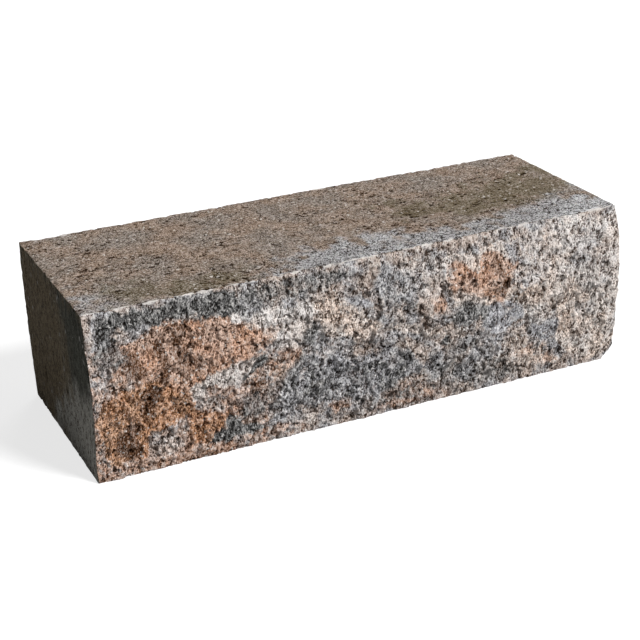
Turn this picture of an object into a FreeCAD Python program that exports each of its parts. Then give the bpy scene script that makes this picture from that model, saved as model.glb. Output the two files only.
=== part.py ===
import FreeCAD, Part
import math
import os

# A retaining wall block: one concrete casting with four moulded faces and two split faces.
# Millimetres. X runs along the wall, Y into the bank, Z up.
# The origin is the middle of the bed. The front split face looks towards -Y.

# Overall sizes, the bed depth taken between the mean lines of the two splits
LENGTH = 400.0
BED_DEPTH = 150.0
HEIGHT = 120.0

# Rounding that the mould leaves along the four edges between bed, top and ends
ARRIS_RADIUS = 1.5

# The split faces swell between their upper and lower edges, fullest above mid-height
FRONT_BELLY = 6.0
BACK_BELLY = 4.0
BELLY_LEAN = 0.55

# Each split runs out of square: its left end is proud by this much, its right end shy
FRONT_SKEW = 2.0
BACK_SKEW = 2.5

# The fracture breaks into flat facets between points that stray from a lattice: across the
# face by a share of its pitch, and in or out by the roughness
FACET_PITCH = 12.0
FACET_SHIFT = 0.22
FRONT_ROUGHNESS = 2.0
BACK_ROUGHNESS = 1.8
FRONT_SEED = 3
BACK_SEED = 15

# The blades bite along the upper and lower edges and hold the fracture straight there,
# to this share of its straying
EDGE_FREEDOM = 0.25

# Lumps and hollows of the front split: share of the length from the left end,
# share of the height from the bed, reach in mm, height in mm (a hollow is negative)
FRONT_LUMPS = [
    (0.07, 0.64, 46.0, 2.5),
    (0.24, 0.62, 55.0, 2.5),
    (0.33, 0.98, 60.0, 2.5),
    (0.24, 0.16, 44.0, -2.5),
    (0.42, 0.36, 60.0, -3.0),
    (0.60, 0.62, 50.0, 2.0),
    (0.71, 0.74, 48.0, 2.0),
    (0.80, 0.40, 52.0, -3.0),
    (0.97, 0.72, 56.0, 3.5),
]

# The same for the back split
BACK_LUMPS = [
    (0.10, 0.45, 55.0, 2.0),
    (0.32, 0.70, 50.0, -2.5),
    (0.52, 0.30, 60.0, 2.5),
    (0.74, 0.62, 55.0, 2.0),
    (0.90, 0.25, 45.0, -3.0),
]

# Shell-shaped chips knocked off the edges and corners of the front split: share of the
# length, share of the height, radius of the hollow in mm, its depth in mm
FRONT_CHIPS = [
    (1.00, 0.00, 60.0, 5.5),
    (0.00, 0.82, 20.0, 2.8),
]

# Constants of the hash that scatters the points
HASH_COLUMN = 12.9898
HASH_ROW = 78.233
HASH_SEED = 37.719
HASH_GAIN = 43758.5453


def scatter(column, row, seed):
    """Repeatable scatter between -1 and 1 for one point of the lattice."""
    wave = math.sin(column * HASH_COLUMN + row * HASH_ROW + seed * HASH_SEED) * HASH_GAIN
    return 2.0 * (wave - math.floor(wave)) - 1.0


def relief(x, z, swell, skew, lumps, stray=0.0):
    """How far a split face stands proud of its mean line: belly, skew, lumps and one point's straying."""
    up = z / HEIGHT
    middle = 4.0 * up * (1.0 - up)
    for lump_along, lump_up, reach, rise in lumps:
        away = math.hypot(x - (lump_along - 0.5) * LENGTH, z - lump_up * HEIGHT)
        stray += rise * math.exp(-(2.0 * away / reach) ** 2)
    hold = EDGE_FREEDOM + (1.0 - EDGE_FREEDOM) * max(0.0, middle)
    return swell * middle * (1.0 + BELLY_LEAN * (2.0 * up - 1.0)) - skew * 2.0 * x / LENGTH + hold * stray


def lattice_places(start, span):
    """Evenly spaced places that cover a span and reach half a step past each end."""
    steps = max(1, round(span / FACET_PITCH))
    pitch = span / steps
    return [start + (step - 0.5) * pitch for step in range(steps + 2)]


def fracture_points(outward, swell, skew, roughness, lumps, seed):
    """Points of one split face, column by column. Outward is -1 for the front and 1 for the back."""
    shift = FACET_SHIFT * FACET_PITCH
    columns = []
    for column, lattice_x in enumerate(lattice_places(-LENGTH / 2, LENGTH)):
        points = []
        for row, lattice_z in enumerate(lattice_places(0.0, HEIGHT)):
            x = lattice_x + shift * scatter(column, row, seed + 1)
            z = lattice_z + shift * scatter(column, row, seed + 2)
            proud = relief(x, z, swell, skew, lumps, roughness * scatter(column, row, seed))
            points.append(FreeCAD.Vector(x, outward * (BED_DEPTH / 2 + proud), z))
        columns.append(points)
    return columns


def flat_face(*corners):
    """A flat face between corners."""
    return Part.Face(Part.makePolygon([*corners, corners[0]]))


def facets(columns):
    """Two flat facets for each cell between the points, with the diagonals turned every other way."""
    faces = []
    for column, (near, far) in enumerate(zip(columns, columns[1:])):
        for row, (a, b, c, d) in enumerate(zip(near, far, far[1:], near[1:])):
            if (column + row) % 2:
                faces += [flat_face(a, b, c), flat_face(a, c, d)]
            else:
                faces += [flat_face(a, b, d), flat_face(b, c, d)]
    return faces


def split_stock(outward, *split):
    """Stock beyond one split face: a block with a flat outer side and the fracture as its inner side."""
    columns = fracture_points(outward, *split)
    bottom = [points[0] for points in columns]
    top = [points[-1] for points in columns]
    rim = bottom + columns[-1][1:-1] + top[::-1] + columns[0][-2:0:-1]
    outer = [FreeCAD.Vector(point.x, outward * 2 * BED_DEPTH, point.z) for point in rim]
    sides = [flat_face(rim[i - 1], rim[i], outer[i], outer[i - 1]) for i in range(len(rim))]
    return Part.makeSolid(Part.makeShell(facets(columns) + sides + [flat_face(*outer)]))


def outward_side(share):
    """Which way leads out of the block at a share of a span: -1 at its start, 1 at its end, else 0."""
    return int(share == 1.0) - int(share == 0.0)


def chip_scoops():
    """One ball for each chip, sunk into the edge or corner from outside by the depth of the chip."""
    scoops = []
    for along, up, radius, depth in FRONT_CHIPS:
        x = (along - 0.5) * LENGTH
        z = up * HEIGHT
        proud = relief(x, z, FRONT_BELLY, FRONT_SKEW, FRONT_LUMPS)
        outward = FreeCAD.Vector(outward_side(along), -1, outward_side(up)).normalize()
        centre = FreeCAD.Vector(x, -BED_DEPTH / 2 - proud, z) + outward * (radius - depth)
        scoops.append(Part.makeSphere(radius, centre))
    return scoops


def moulded_casting():
    """The casting before it is split: half a block deeper at front and back, edges eased."""
    corner = FreeCAD.Vector(-LENGTH / 2, -BED_DEPTH, 0)
    casting = Part.makeBox(LENGTH, 2 * BED_DEPTH, HEIGHT, corner)
    arrises = [edge for edge in casting.Edges if edge.BoundBox.YLength > BED_DEPTH]
    return casting.makeFillet(ARRIS_RADIUS, arrises)


def wall_block():
    """The block: the casting with its front and back split off and its edges chipped."""
    front = split_stock(-1, FRONT_BELLY, FRONT_SKEW, FRONT_ROUGHNESS, FRONT_LUMPS, FRONT_SEED)
    back = split_stock(1, BACK_BELLY, BACK_SKEW, BACK_ROUGHNESS, BACK_LUMPS, BACK_SEED)
    return moulded_casting().cut([front, back] + chip_scoops()).Solids[0]


os.makedirs("parts", exist_ok=True)
wall_block().exportStep("parts/wall_block.step")
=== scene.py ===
import math

import bpy
import numpy as np
from mathutils import Matrix, Vector
from mathutils.bvhtree import BVHTree


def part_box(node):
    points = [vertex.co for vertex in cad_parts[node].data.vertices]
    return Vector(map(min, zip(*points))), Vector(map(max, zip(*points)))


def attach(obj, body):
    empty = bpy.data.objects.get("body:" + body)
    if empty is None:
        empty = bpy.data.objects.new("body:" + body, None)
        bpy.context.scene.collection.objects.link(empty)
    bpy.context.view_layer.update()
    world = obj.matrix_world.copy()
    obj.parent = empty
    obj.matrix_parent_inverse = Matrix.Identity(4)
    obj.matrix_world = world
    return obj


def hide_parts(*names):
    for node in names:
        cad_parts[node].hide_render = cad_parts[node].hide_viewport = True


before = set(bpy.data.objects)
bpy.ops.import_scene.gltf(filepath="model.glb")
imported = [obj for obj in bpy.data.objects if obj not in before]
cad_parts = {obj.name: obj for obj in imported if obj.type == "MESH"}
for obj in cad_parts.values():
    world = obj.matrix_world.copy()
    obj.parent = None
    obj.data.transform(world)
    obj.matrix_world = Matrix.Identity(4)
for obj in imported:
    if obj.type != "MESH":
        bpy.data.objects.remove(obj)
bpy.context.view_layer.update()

# Looks of the retaining wall block: fracture relief, pits, chipped edges and blended concrete colours.
# Metres. X runs along the wall, Y into the bank, Z up, and the front split face looks towards -Y.

MM = 0.001

# Sizes of the block, from the frame
BLOCK = "wall_block"
LOW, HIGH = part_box(BLOCK)
LENGTH = HIGH.x - LOW.x
HEIGHT = HIGH.z - LOW.z

# Mesh: pitch of its points, how many triangles it may have, and the least angle that stays sharp
LATTICE_PITCH = 1.0 * MM
MOST_TRIANGLES = 190_000
SHARP_ANGLE = math.radians(60)

# Net of rays that finds the split faces: its pitch, and how far it keeps from their edges
NET_PITCH = 2.0 * MM
NET_INSET = 0.8 * MM

# Slots of the block's materials, and the slot of each side: left, right, front, back, bed, top
SPLIT, MOULDED, SHADED_END = range(3)
SLOT_OF_SIDE = np.array([SHADED_END, MOULDED, SPLIT, SPLIT, MOULDED, MOULDED])

# Relief of the split faces: flakes, stones and grit, each with its size, the height of the steps
# between its pieces and how steeply they tilt
FLAKES = {"size": 8.0 * MM, "step": 0.4 * MM, "slope": 0.24}
STONES = {"size": 4.6 * MM, "step": 0.32 * MM, "slope": 0.44}
GRIT = {"size": 2.6 * MM, "step": 0.26 * MM, "slope": 0.58}
SPLIT_BENDS = {"size": 3.5 * MM, "amount": 0.9 * MM}
FRONT_SEED, BACK_SEED = 1, 2

# The grain of the split leans to the right by this much, and is drawn out along the lean
GRAIN_LEAN = math.radians(16)
GRAIN_ACROSS, GRAIN_ALONG = 0.72, 1.5

# Near an edge the fracture is held straight: within this distance, to this share of its relief
EDGE_HOLD = 7 * MM
EDGE_FREEDOM = 0.35

# The fracture grows finer from the middle to the right end, where its relief is less by this share
FINER_RIGHT = 0.25

# Open pits of the top and bed. Each kind lies in cells of a size, of which a share have a pit, more
# where pits crowd and fewer elsewhere
PIT_KINDS = [
    {"size": 2.6 * MM, "share": 0.14, "crowding": 0.2, "depth": 1.1 * MM, "seed": 65},
    {"size": 1.7 * MM, "share": 0.24, "crowding": 0.14, "depth": 0.8 * MM, "seed": 75},
]
PIT_BENDS = {"size": 4 * MM, "amount": 0.8 * MM, "seed": 60}
PIT_STRETCH = np.array([0.65, 1, 1])
CROWD = {"size": 26 * MM, "seed": 63}

# A pit's radius as a share of its cell: the least, and how much more it may be
PIT_RADIUS, PIT_SPREAD = 0.35, 0.4

# Fine unevenness between the pits
SKIN = {"size": 1.8 * MM, "seed": 80}
SKIN_DEPTH = 0.1 * MM

# Upright drag marks on the ends: fine streaks, and long pits
DRAG_STRETCH = np.array([1, 1, 0.12])
STREAKS = {"size": 1.8 * MM, "seed": 90}
STREAK_DEPTH = 0.15 * MM
DRAG_PITS = {"size": 3 * MM, "share": 0.06, "depth": 0.5 * MM, "seed": 95}

# Edges are eased to a radius that varies by a share from patch to patch
EDGE_RADIUS = 0.6 * MM
EDGE_VARIES = 0.8
EDGE_PATCHES = {"size": 4 * MM, "seed": 51}

# Chips knocked off the edges: places tried along an edge, spacing, radii in mm, depths as shares of
# the radius, and how worn the edges are
EDGE_STEPS = 400
CHIP_SPACING = 7 * MM
CHIP_RADII = (2.5, 8.0)
CHIP_DEPTHS = (0.08, 0.3)
CHIP_SEED = 5
UPPER_WEAR, UPRIGHT_WEAR, LOWER_WEAR = 0.9, 0.4, 0.2

# Bruised rim of the upper edges, partly pale broken grains and partly a painted highlight where the edges
# catch the light: its width in mm, and how much that varies from patch to patch
RIM_WIDTH, RIM_VARIES = 0.25, 2.6
RIM_PATCHES = {"size": 4.5 * MM, "seed": 260}

# Camera, solved from the block's corners and outline in the 640 x 640 picture
CAMERA_PLACE = (-421.6 * MM, -978.7 * MM, 500.1 * MM)
CAMERA_FORWARD = (0.36113, 0.84607, -0.39211)
CAMERA_ROLL = math.radians(-2.75)
CAMERA_LENS = 89.14

# Light and floor
WORLD_STRENGTH = 0.12
KEY_LAMP = {"strength": 4.55, "shines_from": (0.42, -0.62, 0.66), "angle": math.radians(18)}
BACK_LAMP = {"strength": 1.8, "shines_from": (0.60, 0.77, 0.20), "angle": math.radians(30)}
FLOOR_REACH = 30.0
FLOOR_COLOUR = (0.38, 0.38, 0.38)
FLOOR_LIFT = 0.74

# Outlines of the colour zones wander and fade by this many mm
FRONT_FADE = 3.6
TOP_FADE = 22.0
END_FADE = 18.0
WANDER = {"size": 9 * MM, "seed": 200, "layers": 4}

# On the faces out of view the zones are soft patches, drawn out along the block
ZONES = ("charcoal", "slate", "rust", "ochre", "umber", "blush", "pale", "grey")
PATCH_SIZE = 46 * MM
PATCH_STRETCH = np.array([0.6, 1, 1])
PATCH_EDGE = (0.1, 0.7)
PATCH_STRENGTH = 0.8
PATCH_SEED, PATCH_SEED_STEP = 300, 10

# Colour zones of the front split: strength and outline, in mm from the left end and above the bed
FRONT_ZONES = {
    "charcoal": [
        (1.00, [(8, 117), (9, 100), (24, 106), (60, 107), (92, 103), (108, 102), (104, 117)]),
        (0.55, [(104, 117), (108, 100), (135, 103), (165, 104), (190, 110), (180, 117)]),
        (0.52, [(6, 104), (23, 105), (24, 86), (12, 76), (5, 82)]),
        # Painted shade: the shaded underside below the pale ridge's ledge is laid on as this dark patch
        (1.00, [(108, 65), (116, 71), (125, 69), (117, 60), (104, 52), (101, 56)]),
        (0.46, [(114, 38), (128, 52), (150, 62), (163, 50), (186, 44), (228, 47), (238, 30), (215, 18),
                (186, 15), (132, 22)]),
        (0.50, [(100, 42), (118, 42), (120, 22), (104, 22)]),
        (0.50, [(138, 58), (158, 58), (158, 44), (138, 44)]),
        (0.60, [(361, 82), (379, 82), (380, 67), (363, 67)]),
        (0.45, [(184, 20), (240, 22), (240, 8), (188, 8)]),
        (1.00, [(78, 10), (90, 21), (95, 27), (101, 26), (107, 19), (121, 16), (119, 11), (100, 10)]),
        (0.60, [(145, 74), (152, 85), (160, 82), (158, 66), (148, 68)]),
        (0.36, [(202, 108), (234, 104), (236, 84), (228, 76), (210, 76)]),
        (0.38, [(254, 52), (264, 53), (284, 50), (286, 36), (272, 22), (258, 28)]),
        (1.00, [(253, 53), (258, 54), (262, 49), (261, 43), (255, 45)]),
        (0.62, [(262, 76), (286, 76), (294, 66), (288, 58), (266, 56)]),
        (0.50, [(296, 14), (326, 10), (322, 2), (298, 3)]),
        (0.45, [(236, 30), (262, 34), (300, 26), (330, 16), (322, 3), (262, 3), (240, 12)]),
    ],
    "slate": [
        (0.45, [(6, 104), (24, 104), (25, 80), (8, 78)]),
        (0.68, [(126, 36), (152, 62), (178, 52), (228, 47), (238, 30), (215, 18), (186, 15), (132, 22)]),
        (0.90, [(178, 98), (188, 97), (201, 88), (196, 84), (183, 90)]),
        (0.40, [(204, 106), (232, 100), (238, 90), (230, 76), (212, 76)]),
        (0.95, [(284, 66), (300, 70), (320, 62), (320, 50), (306, 44), (288, 48)]),
        (0.72, [(328, 46), (342, 46), (353, 42), (350, 30), (336, 28), (330, 37)]),
        (0.32, [(376, 90), (398, 94), (396, 68), (380, 66)]),
        (0.48, [(302, 112), (346, 112), (346, 78), (318, 72), (306, 84)]),
        (0.40, [(352, 108), (384, 104), (388, 74), (356, 74)]),
    ],
    "rust": [
        (1.00, [(23, 96), (50, 105), (99, 101), (124, 78), (110, 68), (76, 61), (66, 50), (68, 40),
                (40, 29), (32, 12), (10, 10), (1, 45), (9, 58), (26, 66)]),
        (0.85, [(66, 40), (82, 36), (96, 30), (92, 18), (78, 11), (65, 14)]),
        (0.50, [(72, 50), (100, 52), (118, 58), (122, 44), (104, 30), (70, 36)]),
        (0.60, [(2, 14), (34, 12), (64, 10), (110, 9), (112, -3), (2, -3)]),
        (0.80, [(260, 102), (274, 103), (288, 92), (308, 74), (304, 65), (270, 78), (260, 88)]),
        (0.60, [(243, 91), (252, 89), (259, 74), (250, 73)]),
        (0.75, [(278, 106), (302, 108), (314, 92), (306, 80), (284, 90)]),
        (0.55, [(159, 20), (170, 23), (185, 18), (182, 12), (164, 13)]),
        (0.45, [(198, 2), (206, 15), (232, 26), (256, 16), (262, 3)]),
        (0.45, [(110, 2), (118, 10), (146, 13), (150, 4)]),
        (0.46, [(-5, 96), (24, 100), (150, 94), (146, 62), (126, 30), (122, -5), (-5, -5)]),
        (0.32, [(308, 26), (330, 30), (352, 22), (356, 8), (330, 4), (310, 10)]),
    ],
    "ochre": [
        (1.00, [(2, 45), (9, 58), (26, 68), (50, 66), (64, 52), (68, 40), (40, 29), (32, 12), (10, 10)]),
        (0.70, [(66, 40), (82, 36), (96, 30), (92, 18), (78, 11), (65, 14)]),
    ],
    "umber": [
        (0.72, [(54, 103), (66, 101), (67, 82), (60, 74), (55, 84)]),
        (0.62, [(23, 92), (34, 90), (38, 74), (30, 66), (22, 74)]),
        (0.50, [(64, 82), (76, 80), (78, 66), (66, 64)]),
        (0.40, [(0, 6), (116, 6), (116, -4), (0, -4)]),
        (0.80, [(32, 64), (45, 64), (46, 46), (38, 38), (31, 44)]),
        (0.90, [(18, 44), (31, 38), (30, 14), (22, 9), (16, 20)]),
        (0.70, [(43, 94), (52, 94), (56, 66), (47, 62)]),
        (0.60, [(104, 50), (118, 56), (126, 50), (112, 38)]),
        (0.70, [(296, 102), (299, 102), (307, 86), (306, 70), (301, 71), (301, 86)]),
    ],
    "blush": [
        (0.60, [(80, 95), (108, 95), (140, 88), (142, 80), (122, 75), (86, 70)]),
        (0.95, [(158, 94), (172, 99), (190, 90), (208, 70), (192, 62), (164, 74)]),
        (0.80, [(207, 70), (222, 69), (259, 55), (258, 50), (222, 61), (207, 62)]),
        (0.60, [(102, 50), (122, 61), (142, 60), (132, 44), (112, 34)]),
        (0.85, [(312, 113), (372, 112), (360, 86), (360, 60), (324, 50), (312, 84)]),
        (0.85, [(258, 108), (312, 113), (318, 84), (306, 60), (262, 72)]),
        (1.00, [(350, 68), (400, 68), (400, 6), (374, 2), (350, 24)]),
        (0.50, [(280, 24), (340, 27), (358, 4), (284, 5)]),
        (0.40, [(0, 108), (8, 108), (9, 62), (0, 62)]),
    ],
    "pale": [
        (0.88, [(66, 57), (76, 61), (112, 71), (114, 66), (106, 58), (99, 52), (80, 52), (70, 49)]),
        (0.95, [(102, 98), (124, 101), (156, 98), (158, 90), (146, 80), (148, 70),
                (136, 67), (124, 72), (134, 86)]),
        (0.42, [(69, 50), (84, 48), (88, 42), (78, 36), (72, 42)]),
        (0.48, [(36, 22), (48, 26), (60, 20), (61, 12), (50, 7), (38, 10)]),
        (0.70, [(146, 18), (154, 18), (154, 8), (146, 9)]),
        (0.45, [(222, 112), (262, 112), (260, 84), (244, 80), (226, 92)]),
        (0.60, [(322, 58), (340, 58), (344, 46), (328, 44)]),
        (0.60, [(362, 56), (380, 56), (380, 44), (364, 44)]),
        (0.55, [(382, 100), (406, 100), (406, 56), (384, 58)]),
        (0.70, [(330, 117), (400, 118), (400, 94), (386, 97), (370, 108)]),
        (0.36, [(358, 62), (405, 62), (405, 6), (376, 3), (360, 24)]),
        (0.44, [(318, 117), (405, 118), (405, 60), (372, 60), (350, 72), (326, 72)]),
    ],
}

# The same for the top, in mm from the left end and behind the front edge
TOP_ZONES = {
    "grey": [
        (0.55, [(-9, 52), (24, 46), (60, 30), (110, 20), (150, 34), (150, -9), (-9, -9)]),
        (0.90, [(130, 18), (150, 32), (178, 48), (240, 40), (300, 32), (345, 44),
                (403, 62), (403, -9), (130, -9)]),
    ],
    "pale": [
        (0.35, [(0, 42), (16, 42), (24, 26), (10, 12), (0, 12)]),
        (0.90, [(194, 34), (212, 42), (230, 41), (222, 33), (202, 27)]),
        (0.50, [(186, 26), (240, 20), (252, 3), (188, 2)]),
        (0.90, [(345, 12), (372, 34), (400, 58), (400, -9), (340, -9)]),
    ],
    "umber": [
        (0.80, [(250, 98), (320, 104), (400, 122), (400, 66), (345, 52), (290, 54), (258, 62)]),
        (0.75, [(20, 46), (70, 40), (116, 32), (126, 4), (24, 2)]),
    ],
}

# The same for the left end, in mm behind the front edge and above the bed
END_ZONES = {
    "umber": [(0.9, [(170, 130), (170, -9), (76, -9), (62, 60), (84, 130)])],
    "charcoal": [(0.9, [(60, 130), (-9, 130), (-9, 34), (44, 44)])],
    "pale": [(0.9, [(120, -9), (100, 22), (60, 48), (24, 54), (-9, 56), (-9, -9)])],
}

# Colours of the split faces. Where there are two, the hue drifts between them
SPLIT_BASE = [(0.49, 0.395, 0.34), (0.41, 0.405, 0.42)]
SPLIT_TONES = {
    "blush": [(0.76, 0.61, 0.515), (0.73, 0.645, 0.59)],
    "slate": [(0.41, 0.41, 0.435), (0.46, 0.46, 0.49)],
    "rust": [(0.59, 0.338, 0.22), (0.60, 0.407, 0.312)],
    "ochre": [(0.54, 0.278, 0.146), (0.55, 0.316, 0.19)],
    "umber": [(0.18, 0.085, 0.042)],
    "charcoal": [(0.135, 0.134, 0.133)],
    "pale": [(0.74, 0.655, 0.605), (0.73, 0.69, 0.67)],
}

# Colours of the moulded top, bed and right end, and of their pale grit
MOULDED_BASE = [(0.245, 0.172, 0.122), (0.2, 0.162, 0.132)]
MOULDED_TONES = {
    "grey": [(0.315, 0.31, 0.315)],
    "umber": [(0.13, 0.099, 0.059)],
    "rust": [(0.24, 0.155, 0.11)],
    "pale": [(0.455, 0.46, 0.47)],
}
MOULDED_GRIT = (0.5, 0.46, 0.42)

# The same for the left end, painted darker than the moulded faces as shade
SHADED_END_BASE = [(0.105, 0.088, 0.06)]
SHADED_END_TONES = {
    "umber": [(0.115, 0.09, 0.056)],
    "charcoal": [(0.048, 0.049, 0.038)],
    "pale": [(0.32, 0.31, 0.28)],
}
SHADED_END_GRIT = (0.3, 0.29, 0.28)

# A zone's colour takes over as its strength and a jitter around 0.5 add up to between these
ZONE_EDGE = (0.65, 1.25)

# What a grain's colour is multiplied by at its darkest, partly its own dark tone and partly painted shade
# in its gaps, and how it brightens where it is bleached
GAP_SHADE_TINT = (0.13, 0.105, 0.09)
BLEACH_GAIN = 1.35
BLEACHED = (0.88, 0.85, 0.82)

# Bruised grains along the upper edges, partly a painted highlight of these lit edges
BRUISE_AND_HIGHLIGHT = (0.74, 0.70, 0.67)
BRUISE_AND_HIGHLIGHT_STRENGTH = 0.85

# Dry concrete: its gloss, and how strongly its finest relief shows
DRY_GLOSS = 0.03
BUMP_STRENGTH = 0.8

# Least length to divide by
TINY = 1e-9

# Steps to the corners of a cell and to the cells around it
CUBE_CORNERS = [np.array((i, j, k)) for i in (0, 1) for j in (0, 1) for k in (0, 1)]
NEIGHBOURS = [np.array((i, j, k)) for i in (-1, 0, 1) for j in (-1, 0, 1) for k in (-1, 0, 1)]

# Factors of the hash behind the noise
HASH_AXES = np.array([73856093, 19349663, 83492791])
HASH_SEED = 2654435761
HASH_FIRST, HASH_SECOND = 2246822519, 3266489917
HASH_WORD, HASH_VALUE = 0xFFFFFFFF, 0xFFFFFF


# Repeatable noise

def cell_value(cells, seed):
    """Repeatable value from 0 to 1 for each whole-number cell."""
    mixed = cells.astype(np.int64) @ HASH_AXES + seed * HASH_SEED
    mixed = ((mixed ^ (mixed >> 15)) * HASH_FIRST) & HASH_WORD
    mixed = ((mixed ^ (mixed >> 13)) * HASH_SECOND) & HASH_WORD
    return ((mixed ^ (mixed >> 16)) & HASH_VALUE) / HASH_VALUE


def soft_noise(points, size, seed):
    """Smooth noise from -1 to 1 with features of about the given size."""
    place = points / size
    base = np.floor(place)
    share = place - base
    share = share * share * (3 - 2 * share)
    total = np.zeros(len(points))
    for corner in CUBE_CORNERS:
        weight = np.where(corner, share, 1 - share).prod(axis=1)
        total += weight * cell_value(base + corner, seed)
    return 2 * total - 1


def layered_noise(points, size, seed, layers=3):
    """Smooth noise with finer layers, each half as large and half as strong."""
    total = np.zeros(len(points))
    for layer in range(layers):
        total += soft_noise(points, size / 2 ** layer, seed + layer) / 2 ** layer
    return total


def grains(points, size, seed):
    """For scattered grains of a size: distance to the nearest, its cell, and the way from it."""
    place = points / size
    base = np.floor(place)
    nearest = np.full(len(points), np.inf)
    own_cell, way = base.copy(), np.zeros_like(place)
    for step in NEIGHBOURS:
        cell = base + step
        jitter = np.stack([cell_value(cell, seed + axis) for axis in range(3)], 1)
        offset = place - cell - jitter
        distance = np.linalg.norm(offset, axis=1)
        closer = distance < nearest
        own_cell[closer] = cell[closer]
        way[closer] = offset[closer]
        nearest = np.minimum(nearest, distance)
    return nearest, own_cell, way


def facets(points, size, step, slope, seed):
    """Relief of broken facets: each grain has its own height and its own tilt."""
    _, cell, way = grains(points, size, seed)
    tilt = np.stack([2 * cell_value(cell, seed + 4 + axis) - 1 for axis in range(3)], 1)
    return step * (2 * cell_value(cell, seed + 3) - 1) + slope * size * (tilt * way).sum(axis=1)


def pits(points, size, share, depth, seed):
    """Open pits of a moulded face, as depths below it."""
    near, cell, _ = grains(points, size, seed)
    radius = PIT_RADIUS + PIT_SPREAD * cell_value(cell, seed + 5)
    return depth * (cell_value(cell, seed + 3) < share) * (1 - smooth_step(near, 0.5 * radius, radius))


def bent(points, size, amount, seed):
    """Points led astray by smooth noise, so that what is scattered over them has crooked outlines."""
    return points + amount * np.stack([soft_noise(points, size, seed + axis) for axis in range(3)], 1)


def smooth_step(value, low, high):
    """Smooth change from 0 to 1 as a value goes from low to high."""
    share = np.clip((value - low) / (high - low), 0, 1)
    return share * share * (3 - 2 * share)


# Shape

def box_lattice(counts):
    """Lattice places, quads and quad sides of a box cut into counts cells along each axis."""
    quads, sides = [], []
    for axis in range(3):
        across, along = (axis + 1) % 3, (axis + 2) % 3
        first, second = np.meshgrid(np.arange(counts[across]), np.arange(counts[along]), indexing="ij")
        for side, level in enumerate((0, counts[axis])):
            corners = np.zeros((first.size, 4, 3), int)
            corners[:, :, axis] = level
            for corner, (step_across, step_along) in enumerate(((0, 0), (1, 0), (1, 1), (0, 1))):
                corners[:, corner, across] = first.ravel() + step_across
                corners[:, corner, along] = second.ravel() + step_along
            quads.append(corners if side else corners[:, ::-1])
            sides.append(np.full(first.size, 2 * axis + side))
    corners = np.concatenate(quads).reshape(-1, 3)
    shape = tuple(count + 1 for count in counts)
    keys, quads = np.unique(np.ravel_multi_index(corners.T, shape), return_inverse=True)
    return np.stack(np.unravel_index(keys, shape), 1), quads.reshape(-1, 4), np.concatenate(sides)


def split_net(toward):
    """Samples a split face of the CAD block with rays, and returns its depth as a function of x and z."""
    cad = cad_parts[BLOCK].data
    tree = BVHTree.FromPolygons([v.co for v in cad.vertices], [p.vertices for p in cad.polygons])
    x_places = np.linspace(LOW.x + NET_INSET, HIGH.x - NET_INSET, round(LENGTH / NET_PITCH))
    z_places = np.linspace(LOW.z + NET_INSET, HIGH.z - NET_INSET, round(HEIGHT / NET_PITCH))
    ray = Vector((0, toward, 0))
    hits = [[tree.ray_cast(Vector((x, -toward, z)), ray)[0] for z in z_places] for x in x_places]
    depth = np.array([[hit.y for hit in column] for column in hits])

    def depth_at(x, z):
        column = (x - x_places[0]) / (x_places[1] - x_places[0])
        row = (z - z_places[0]) / (z_places[1] - z_places[0])
        i = np.clip(np.floor(column), 0, len(x_places) - 2).astype(int)
        k = np.clip(np.floor(row), 0, len(z_places) - 2).astype(int)
        a, b = np.clip(column - i, 0, 1), np.clip(row - k, 0, 1)
        low = depth[i, k] * (1 - a) + depth[i + 1, k] * a
        high = depth[i, k + 1] * (1 - a) + depth[i + 1, k + 1] * a
        return low * (1 - b) + high * b

    return depth_at


def fracture(x, z, seed):
    """Fine relief of a split face, outward positive, and how deep each place lies between its grains."""
    upright = x - z * math.tan(GRAIN_LEAN)
    points = np.stack([upright / GRAIN_ACROSS, np.zeros_like(x), z / GRAIN_ALONG], 1)
    crooked = bent(points, **SPLIT_BENDS, seed=seed + 40)
    flakes = facets(crooked, **FLAKES, seed=seed + 10)
    stones = facets(crooked, **STONES, seed=seed + 20) + facets(crooked, **GRIT, seed=seed + 30)
    from_edge = np.minimum(LENGTH / 2 - np.abs(x), HEIGHT / 2 - np.abs(z - LOW.z - HEIGHT / 2))
    hold = EDGE_FREEDOM + (1 - EDGE_FREEDOM) * smooth_step(from_edge, 0, EDGE_HOLD)
    hold *= 1 - FINER_RIGHT * smooth_step(x, 0, LENGTH / 2)
    return hold * (flakes + stones), -stones


def ease_edges(points, front, back, radius):
    """Rounds the block's edges to a radius that differs from point to point."""
    half_length = np.full(len(points), LENGTH / 2)
    half_height = np.full(len(points), HEIGHT / 2)
    half = np.stack([half_length, (back - front) / 2, half_height], 1)
    centre = np.stack([np.zeros(len(points)), (back + front) / 2, half_height], 1)
    offset = points - centre
    inside = half - np.abs(offset)
    core = np.maximum(inside, radius[:, None])
    reach = core - inside
    length = np.linalg.norm(reach, axis=1)
    eased = core - reach * (radius / np.maximum(length, TINY))[:, None]
    eased = np.where((length > radius)[:, None], eased, inside)
    return centre + np.sign(offset) * (half - eased), inside


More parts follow.
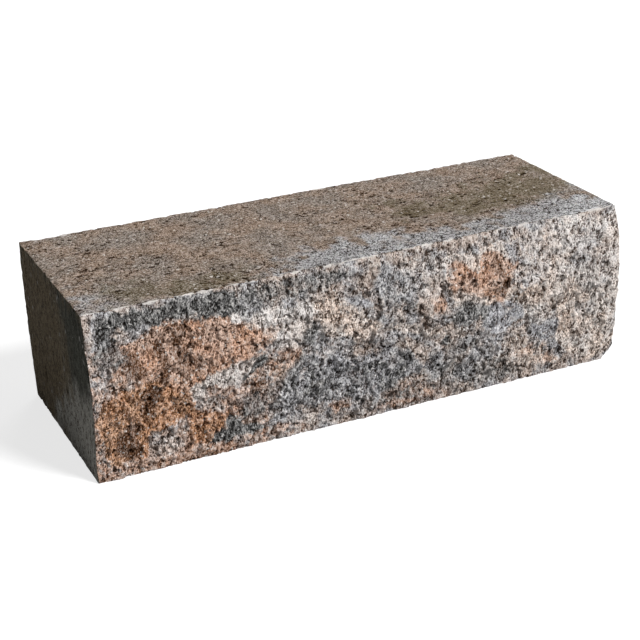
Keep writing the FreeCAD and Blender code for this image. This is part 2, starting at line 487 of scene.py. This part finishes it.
def edge_lines(front_at, back_at):
    """The block's edges, each as places along it, the way out of the block there and how worn it is."""
    left_right = ((LOW.x, -1), (HIGH.x, 1))
    low_high = ((LOW.z, -1), (HIGH.z, 1))
    splits = ((front_at, -1), (back_at, 1))
    steps = np.linspace(0, 1, EDGE_STEPS)
    lines = []
    for depth_at, toward in splits:
        x = LOW.x + LENGTH * steps
        for z, up in low_high:
            line = np.stack([x, depth_at(x, np.full_like(x, z)), np.full_like(x, z)], 1)
            lines.append((line, (0, toward, up), UPPER_WEAR if up > 0 else LOWER_WEAR))
        z = LOW.z + HEIGHT * steps
        for x, out in left_right:
            line = np.stack([np.full_like(z, x), depth_at(np.full_like(z, x), z), z], 1)
            lines.append((line, (out, toward, 0), UPRIGHT_WEAR))
    for x, out in left_right:
        for z, up in low_high:
            near, far = [depth_at(np.array([x]), np.array([z]))[0] for depth_at in (front_at, back_at)]
            y = near + (far - near) * steps
            line = np.stack([np.full_like(y, x), y, np.full_like(y, z)], 1)
            lines.append((line, (out, 0, up), UPRIGHT_WEAR if up > 0 else LOWER_WEAR))
    return lines


def chip_edges(points, lines, by_edge):
    """Knocks shell-shaped chips off the edges: points that fall in a chip's ball are pushed to its skin."""
    random = np.random.default_rng(CHIP_SEED)
    chipped = points[by_edge]
    for places, way_out, wear in lines:
        outward = np.array(way_out) / np.linalg.norm(way_out)
        span = np.linalg.norm(places[-1] - places[0])
        for _ in range(round(wear * span / CHIP_SPACING)):
            radius = MM * random.uniform(*CHIP_RADII)
            depth = wear * radius * random.uniform(*CHIP_DEPTHS)
            centre = places[random.integers(len(places))] + outward * (radius - depth)
            way = chipped - centre
            distance = np.linalg.norm(way, axis=1)
            hit = distance < radius
            chipped[hit] = centre + way[hit] * (radius / distance[hit])[:, None]
    points[by_edge] = chipped


def moulded_relief(points, level, end):
    """Depth below the moulded faces: open pits in the top and bed, upright drag marks on the ends."""
    drawn_out = bent(points, **PIT_BENDS) * PIT_STRETCH
    crowd = layered_noise(points, **CROWD)
    open_grain = np.zeros(len(points))
    for kind in PIT_KINDS:
        share = kind["share"] + kind["crowding"] * crowd
        open_grain += pits(drawn_out, kind["size"], share, kind["depth"], kind["seed"])
    open_grain += SKIN_DEPTH * (1 + soft_noise(points, **SKIN))
    drag = points * DRAG_STRETCH
    streaks = STREAK_DEPTH * (1 + soft_noise(drag, **STREAKS)) + pits(drag, **DRAG_PITS)
    return np.where(level != 0, open_grain, np.where(end != 0, streaks, 0.0))


def block_points(places, counts):
    """Points of the finished block, each with how far it lies below its face and inside its faces."""
    x = LOW.x + LENGTH * places[:, 0] / counts[0]
    z = LOW.z + HEIGHT * places[:, 2] / counts[2]
    front_at, back_at = split_net(1), split_net(-1)
    front_relief, front_gap = fracture(x, z, FRONT_SEED)
    back_relief, back_gap = fracture(x, z, BACK_SEED)
    front = front_at(x, z) - front_relief
    back = back_at(x, z) + back_relief
    points = np.stack([x, front + (back - front) * places[:, 1] / counts[1], z], 1)
    radius = EDGE_RADIUS * (1 + EDGE_VARIES * soft_noise(points, **EDGE_PATCHES))
    points, inside = ease_edges(points, front, back, radius)
    by_edge = np.sort(inside, axis=1)[:, 1] < MM * CHIP_RADII[1]
    chip_edges(points, edge_lines(front_at, back_at), by_edge)

    inward = (places == 0).astype(int) - (places == np.array(counts))
    end, side, level = inward.T
    below = moulded_relief(points, level, end)
    points[:, 2] += level * below
    points[:, 0] += np.where(level == 0, end * below, 0.0)
    hollow = np.where(side > 0, front_gap, np.where(side < 0, back_gap, below))
    return points, hollow, inside


def rim_bruise_and_highlight(points, inside):
    """How much bruising and painted highlight the upper edges of the splits carry: 1 at the edge, fading
    within a few mm.
    """
    away = np.maximum(inside[:, 1], inside[:, 2])
    reach = MM * (RIM_WIDTH + RIM_VARIES * soft_noise(points, **RIM_PATCHES))
    wear = np.clip((reach - away) / MM, 0, 1)
    return np.where(points[:, 2] > LOW.z + HEIGHT / 2, wear, 0.0)


def add_attribute(mesh, name, values):
    """Stores a value for each point, for the materials to read."""
    mesh.attributes.new(name, "FLOAT", "POINT").data.foreach_set("value", values.astype(np.float32))


def make_block(materials):
    """The block as one closed mesh that stands for the CAD solid."""
    depth = HIGH.y - LOW.y
    counts = [round(size / LATTICE_PITCH) for size in (LENGTH, depth, HEIGHT)]
    places, quads, sides = box_lattice(counts)
    points, hollow, inside = block_points(places, counts)
    mesh = bpy.data.meshes.new("split_wall_block")
    mesh.from_pydata(points, [], quads)
    for name, values in zone_masks(points, places, counts).items():
        add_attribute(mesh, name, values)
    # Depth below the surface in mm, which the materials darken with painted shade
    add_attribute(mesh, "hollow", hollow / MM)
    add_attribute(mesh, "rim", rim_bruise_and_highlight(points, inside))
    for material in materials:
        mesh.materials.append(material)
    mesh.polygons.foreach_set("material_index", SLOT_OF_SIDE[sides].astype(np.int32))
    block = bpy.data.objects.new("split_wall_block", mesh)
    bpy.context.scene.collection.objects.link(block)
    behind_front = np.flatnonzero(places[:, 1] > 0)
    thin_out(block, behind_front, MOST_TRIANGLES / (2 * len(quads)))
    keep_inside(block.data)
    block.data.shade_smooth()
    block.data.set_sharp_from_angle(angle=SHARP_ANGLE)
    return block


def thin_out(block, free, share):
    """Collapses the flatter triangles between free vertices until this share of them all is left."""
    group = block.vertex_groups.new(name="free")
    group.add(free.tolist(), 1.0, "REPLACE")
    modifier = block.modifiers.new("thin_out", "DECIMATE")
    modifier.vertex_group = group.name
    modifier.ratio = share
    evaluated = block.evaluated_get(bpy.context.evaluated_depsgraph_get())
    thinned = bpy.data.meshes.new_from_object(evaluated)
    block.modifiers.clear()
    block.vertex_groups.clear()
    dense = block.data
    block.data = thinned
    bpy.data.meshes.remove(dense)


def keep_inside(mesh):
    """Puts points that the thinning moved past the moulded faces back onto them."""
    points = np.empty(3 * len(mesh.vertices), np.float32)
    mesh.vertices.foreach_get("co", points)
    points = points.reshape(-1, 3)
    for axis in (0, 2):
        points[:, axis] = np.clip(points[:, axis], LOW[axis], HIGH[axis])
    mesh.vertices.foreach_set("co", points.ravel())


# Colour zones

def reach_inside(along, up, corners):
    """How far each place lies inside an outline, negative outside it."""
    inside = np.zeros(len(along), bool)
    nearest = np.full(len(along), np.inf)
    for (x0, z0), (x1, z1) in zip(corners, corners[1:] + corners[:1]):
        run, rise = x1 - x0, z1 - z0
        share = np.clip(((along - x0) * run + (up - z0) * rise) / (run * run + rise * rise), 0, 1)
        nearest = np.minimum(nearest, np.hypot(along - x0 - share * run, up - z0 - share * rise))
        if rise:
            inside ^= ((z0 > up) != (z1 > up)) & (along < x0 + (up - z0) * run / rise)
    return np.where(inside, nearest, -nearest)


def outlined(along, up, outlines, fade, wander):
    """Strength of a zone at each place: the strongest of its outlines, with a wandering edge."""
    mask = np.zeros(len(along))
    for strength, corners in outlines:
        reach = reach_inside(along / MM, up / MM, corners) + fade * wander
        mask = np.maximum(mask, strength * smooth_step(reach, -fade, fade))
    return mask


def zone_masks(points, places, counts):
    """Strength of each colour zone at each point: laid out on the faces in view, scattered elsewhere."""
    along, behind, up = (points - np.array(LOW)).T
    wander = layered_noise(points, **WANDER)
    laid_out = [
        (places[:, 0] == 0, behind, up, END_ZONES, END_FADE),
        (places[:, 2] == counts[2], along, behind, TOP_ZONES, TOP_FADE),
        (places[:, 1] == 0, along, up, FRONT_ZONES, FRONT_FADE),
    ]
    masks = {}
    for index, zone in enumerate(ZONES):
        patches = layered_noise(points * PATCH_STRETCH, PATCH_SIZE, PATCH_SEED + PATCH_SEED_STEP * index)
        mask = PATCH_STRENGTH * smooth_step(patches, *PATCH_EDGE)
        for face, first, second, zones, fade in laid_out:
            mask[face] = outlined(first[face], second[face], zones.get(zone, []), fade, wander[face])
        masks[zone] = mask
    return masks


# Materials

class Graph:
    """Shorthand for building the nodes of one material."""

    def __init__(self, name):
        self.material = bpy.data.materials.new(name)
        self.material.use_nodes = True
        self.nodes = self.material.node_tree.nodes
        self.links = self.material.node_tree.links
        self.shader = self.nodes["Principled BSDF"]

    def feed(self, socket, value):
        """Links a socket's value, or sets a plain one."""
        if isinstance(value, bpy.types.NodeSocket):
            self.links.new(value, socket)
        else:
            socket.default_value = value

    def add(self, kind, inputs, **settings):
        """A new node of a kind, with its inputs fed."""
        node = self.nodes.new("ShaderNode" + kind)
        for name, value in settings.items():
            setattr(node, name, value)
        for key, value in inputs.items():
            self.feed(node.inputs[key], value)
        return node

    def math(self, operation, *values):
        """One step of arithmetic on two or three values."""
        return self.add("Math", dict(enumerate(values)), operation=operation).outputs[0]

    def ramp(self, value, low, high, start=0.0, end=1.0):
        """Smooth change from start to end as a value goes from low to high."""
        inputs = {"Value": value, "From Min": low, "From Max": high, "To Min": start, "To Max": end}
        return self.add("MapRange", inputs, interpolation_type="SMOOTHSTEP").outputs["Result"]

    def blend(self, share, first, second, blend_type="MIX"):
        """A share of the second colour blended over the first."""
        first, second = [(*c, 1) if isinstance(c, tuple) else c for c in (first, second)]
        inputs = {0: share, 6: first, 7: second}
        return self.add("Mix", inputs, data_type="RGBA", blend_type=blend_type).outputs[2]

    def shade(self, colour, factor):
        """A colour made darker or lighter by a factor."""
        return self.add("VectorMath", {0: colour, "Scale": factor}, operation="SCALE").outputs[0]

    def place(self, stretch, bend=0.0, lean=0.0):
        """Place on the block, drawn out along each axis, leaning, and led astray by up to a bend."""
        place = self.add("TexCoord", {}).outputs["Object"]
        if bend:
            inputs = {"Vector": place, "Scale": 0.5 / bend, "Detail": 2.0}
            astray = self.add("TexNoise", inputs).outputs["Color"]
            inputs = {0: astray, 1: (2 * bend,) * 3, 2: place}
            place = self.add("VectorMath", inputs, operation="MULTIPLY_ADD").outputs[0]
        inputs = {"Vector": place, "Rotation": (0, lean, 0), "Scale": stretch}
        return self.add("Mapping", inputs, vector_type="TEXTURE").outputs[0]

    def noise(self, size, detail=3.0, stretch=(1, 1, 1), distortion=0.0, lean=0.0):
        """Smooth noise around 0.5 with features of about the given size."""
        inputs = {"Vector": self.place(stretch, lean=lean), "Scale": 1 / size, "Detail": detail,
                  "Roughness": 0.6, "Distortion": distortion}
        return self.add("TexNoise", inputs).outputs[0]

    def cells(self, size, stretch=(1, 1, 1), lean=0.0):
        """Crooked grains of a size, as three values that differ from grain to grain."""
        place = self.place(stretch, bend=0.3 * size, lean=lean)
        node = self.add("TexVoronoi", {"Vector": place, "Scale": 1 / size})
        return self.add("SeparateColor", {0: node.outputs["Color"]}).outputs

    def attribute(self, name):
        """A value stored for each point of the block."""
        return self.add("Attribute", {}, attribute_name=name).outputs["Fac"]

    def drift(self, colours, hue):
        """A colour that drifts between two as the hue goes from 0 to 1, or stays one."""
        return self.blend(hue, *colours) if len(colours) == 2 else colours[0]

    def zones(self, base, tones, hue, jitter):
        """Base colour with each zone's colour laid over it, its outline broken up grain by grain."""
        colour = self.drift(base, hue)
        for zone, tone in tones.items():
            mask = self.ramp(self.math("ADD", self.attribute(zone), jitter), *ZONE_EDGE)
            colour = self.blend(mask, colour, self.drift(tone, hue))
        return colour

    def total(self, parts):
        """Sum of values around 0.5, each spread by its own weight."""
        total = 0.5 - sum(weight / 2 for _, weight in parts)
        for value, weight in parts:
            total = self.math("MULTIPLY_ADD", value, weight, total)
        return total

    def gap_shaded_and_bleached(self, colour, light, bleach):
        """A colour taken from deep shade through itself to a bleached tint as light goes from 0 to 1."""
        deep = self.blend(1.0, colour, GAP_SHADE_TINT, "MULTIPLY")
        bleached = self.blend(bleach, self.shade(colour, BLEACH_GAIN), BLEACHED)
        colour = self.blend(self.ramp(light, 0.0, 0.5), deep, colour)
        return self.blend(self.ramp(light, 0.5, 1.0), colour, bleached)

    def bruised_and_highlit(self, colour):
        """A colour with the bruising and the painted highlight of the upper edges laid over it."""
        rim = self.ramp(self.attribute("rim"), 0.1, 0.7, end=BRUISE_AND_HIGHLIGHT_STRENGTH)
        return self.blend(rim, colour, BRUISE_AND_HIGHLIGHT)

    def finish(self, colour, roughness, height, depth):
        """Feeds the shader with a colour, a roughness and a fine relief of a depth."""
        self.feed(self.shader.inputs["Base Color"], colour)
        self.feed(self.shader.inputs["Roughness"], roughness)
        self.shader.inputs["Specular IOR Level"].default_value = DRY_GLOSS
        bump = self.add("Bump", {"Height": height, "Distance": depth, "Strength": BUMP_STRENGTH})
        self.feed(self.shader.inputs["Normal"], bump.outputs[0])
        return self.material


def split_material():
    """Split concrete: broken grains of many colours, with painted shade in its gaps, and white flecks."""
    graph = Graph("split_concrete")
    strokes = graph.noise(2.4 * MM, stretch=(1, 1, 2.4), distortion=0.8, lean=GRAIN_LEAN)
    broad = graph.noise(10 * MM)
    fine = graph.noise(0.8 * MM, detail=2, stretch=(1, 1, 2.2), lean=GRAIN_LEAN)
    wander = graph.noise(14 * MM, detail=4)
    grain_colour, grain_light, gap_shade_pick = graph.cells(2.3 * MM, stretch=(1, 1, 1.4), lean=GRAIN_LEAN)
    _, chip_light, fleck = graph.cells(1.3 * MM, stretch=(1.2, 1, 1))
    jitter = graph.total([(grain_colour, 0.3), (wander, 1.0)])
    hue = graph.ramp(graph.noise(17 * MM, detail=4), 0.38, 0.62)
    colour = graph.zones(SPLIT_BASE, SPLIT_TONES, hue, jitter)
    # Painted light and shade of the relief: lighter where the split stands proud, darker where it lies deep
    painted_relief_shade = graph.ramp(graph.attribute("hollow"), -1.0, 1.0, start=1.0, end=0.0)
    light = graph.total([(strokes, 1.3), (fine, 3.3), (broad, 1.0),
                         (grain_light, 0.12), (chip_light, 0.3), (painted_relief_shade, 0.4)])
    # Painted shade of deep pits: a few grains, picked at random, turn dark
    light = graph.math("ADD", light, graph.ramp(gap_shade_pick, 0.05, 0.09, start=-0.45, end=0.0))
    bleach = graph.ramp(graph.attribute("rust"), 0.3, 0.9, start=0.4, end=0.26)
    colour = graph.gap_shaded_and_bleached(colour, light, bleach)
    colour = graph.blend(graph.ramp(fleck, 0.955, 0.965, end=0.55), colour, BLEACHED)
    roughness = graph.ramp(fine, 0.2, 0.8, start=0.8, end=1.0)
    return graph.finish(graph.bruised_and_highlit(colour), roughness, light, 1.1 * MM)


def moulded_material():
    """Moulded top, bed and right end: fine grains, open pits darkened with painted shade, pale grit."""
    graph = Graph("moulded_concrete")
    strokes = graph.noise(2.0 * MM, distortion=0.8)
    broad = graph.noise(10 * MM)
    fine = graph.noise(0.9 * MM, detail=2)
    wander = graph.noise(18 * MM, detail=4)
    grain_colour, grain_light, grit = graph.cells(1.4 * MM)
    jitter = graph.total([(grain_colour, 0.15), (wander, 0.9)])
    hue = graph.ramp(graph.noise(30 * MM, detail=4), 0.35, 0.65)
    colour = graph.zones(MOULDED_BASE, MOULDED_TONES, hue, jitter)
    light = graph.total([(strokes, 1.9), (fine, 2.7), (broad, 0.7), (grain_light, 0.4)])
    harsher_grey = graph.ramp(graph.attribute("grey"), 0.0, 1.0, start=1.0, end=1.9)
    calmer_umber = graph.ramp(graph.attribute("umber"), 0.0, 0.8, start=1.0, end=0.7)
    harsh = graph.math("MULTIPLY", harsher_grey, calmer_umber)
    light = graph.math("MULTIPLY_ADD", graph.math("SUBTRACT", light, 0.5), harsh, 0.5)
    # Painted shade in the open pits: the deeper the pit, the darker
    painted_pit_shade = graph.ramp(graph.attribute("hollow"), 0.2, 0.9, end=-0.75)
    colour = graph.gap_shaded_and_bleached(colour, graph.math("ADD", light, painted_pit_shade), 0.25)
    colour = graph.blend(graph.ramp(grit, 0.985, 0.99), colour, MOULDED_GRIT)
    roughness = graph.ramp(fine, 0.2, 0.8, start=0.8, end=1.0)
    return graph.finish(graph.bruised_and_highlit(colour), roughness, light, 0.4 * MM)


def shaded_end_material():
    """Moulded left end: painted dark as shade, with fine upright drag marks."""
    graph = Graph("shaded_end_concrete")
    strokes = graph.noise(2.2 * MM, stretch=(1, 1, 3))
    fine = graph.noise(1.2 * MM, detail=2)
    wander = graph.noise(25 * MM, stretch=(1, 1, 2))
    _, grain_light, grit = graph.cells(1.5 * MM, stretch=(1, 1, 2))
    jitter = graph.total([(grain_light, 0.1), (wander, 0.7)])
    colour = graph.zones(SHADED_END_BASE, SHADED_END_TONES, None, jitter)
    light = graph.total([(strokes, 2.0), (fine, 2.6), (grain_light, 0.4)])
    # Painted shade in the drag marks and their pits
    painted_pit_shade = graph.ramp(graph.attribute("hollow"), 0.3, 0.9, end=-0.4)
    colour = graph.gap_shaded_and_bleached(colour, graph.math("ADD", light, painted_pit_shade), 0.05)
    colour = graph.blend(graph.ramp(grit, 0.985, 0.99), colour, SHADED_END_GRIT)
    roughness = graph.ramp(fine, 0.2, 0.8, start=0.75, end=0.95)
    return graph.finish(colour, roughness, light, 0.4 * MM)


# Stage

def make_camera():
    """The camera at the photograph's angle."""
    forward = Vector(CAMERA_FORWARD).normalized()
    level_right = forward.cross(Vector((0, 0, 1))).normalized()
    level_up = level_right.cross(forward)
    right = level_right * math.cos(CAMERA_ROLL) + level_up * math.sin(CAMERA_ROLL)
    up = right.cross(forward)
    data = bpy.data.cameras.new("camera")
    data.lens = CAMERA_LENS
    camera = bpy.data.objects.new("camera", data)
    turn = Matrix((right, up, -forward)).transposed().to_4x4()
    camera.matrix_world = Matrix.Translation(Vector(CAMERA_PLACE)) @ turn
    bpy.context.scene.collection.objects.link(camera)
    bpy.context.scene.camera = camera


def seen_rays(nodes, links):
    """A value of 1 for rays that show the backdrop: from the camera, off gloss or through glass."""
    path = nodes.new("ShaderNodeLightPath")
    total = path.outputs["Is Camera Ray"]
    for kind in ("Is Glossy Ray", "Is Transmission Ray"):
        step = nodes.new("ShaderNodeMath")
        step.operation = "MAXIMUM"
        links.new(total, step.inputs[0])
        links.new(path.outputs[kind], step.inputs[1])
        total = step.outputs[0]
    return total


def scaled(nodes, links, value, gain, offset):
    """A value times a gain, plus an offset."""
    step = nodes.new("ShaderNodeMath")
    step.operation = "MULTIPLY_ADD"
    links.new(value, step.inputs[0])
    step.inputs[1].default_value = gain
    step.inputs[2].default_value = offset
    return step.outputs[0]


def floor_material():
    """A pale floor, lifted to white where it is seen but still darkened by the block's shadow."""
    material = bpy.data.materials.new("pale_floor")
    material.use_nodes = True
    nodes, links = material.node_tree.nodes, material.node_tree.links
    shader = nodes["Principled BSDF"]
    shader.inputs["Base Color"].default_value = (*FLOOR_COLOUR, 1)
    shader.inputs["Roughness"].default_value = 1.0
    shader.inputs["Specular IOR Level"].default_value = 0.0
    shader.inputs["Emission Color"].default_value = (1, 1, 1, 1)
    lift = scaled(nodes, links, seen_rays(nodes, links), FLOOR_LIFT, 0.0)
    links.new(lift, shader.inputs["Emission Strength"])
    return material


def make_floor():
    """A flat floor that reaches past the picture."""
    mesh = bpy.data.meshes.new("floor")
    corners = [(FLOOR_REACH * x, FLOOR_REACH * y, 0) for x, y in ((-1, -1), (1, -1), (1, 1), (-1, 1))]
    mesh.from_pydata(corners, [], [(0, 1, 2, 3)])
    mesh.materials.append(floor_material())
    floor = bpy.data.objects.new("floor", mesh)
    bpy.context.scene.collection.objects.link(floor)


def make_surround():
    """An even pale surround, white where it is seen."""
    world = bpy.data.worlds.new("studio")
    world.use_nodes = True
    nodes, links = world.node_tree.nodes, world.node_tree.links
    background = nodes["Background"]
    background.inputs["Color"].default_value = (1, 1, 1, 1)
    lift = scaled(nodes, links, seen_rays(nodes, links), 1 - WORLD_STRENGTH, WORLD_STRENGTH)
    links.new(lift, background.inputs["Strength"])
    bpy.context.scene.world = world


def make_lamp(name, strength, shines_from, angle):
    """A broad soft lamp, far away."""
    data = bpy.data.lights.new(name, "SUN")
    data.energy = strength
    data.angle = angle
    lamp = bpy.data.objects.new(name, data)
    lamp.rotation_mode = "QUATERNION"
    lamp.rotation_quaternion = Vector(shines_from).to_track_quat("Z", "Y")
    bpy.context.scene.collection.objects.link(lamp)


bpy.context.scene.view_settings.view_transform = "Standard"
make_camera()
make_floor()
make_surround()
make_lamp("key", **KEY_LAMP)
make_lamp("back_fill", **BACK_LAMP)
block = make_block([split_material(), moulded_material(), shaded_end_material()])
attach(block, "root")
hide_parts(BLOCK)
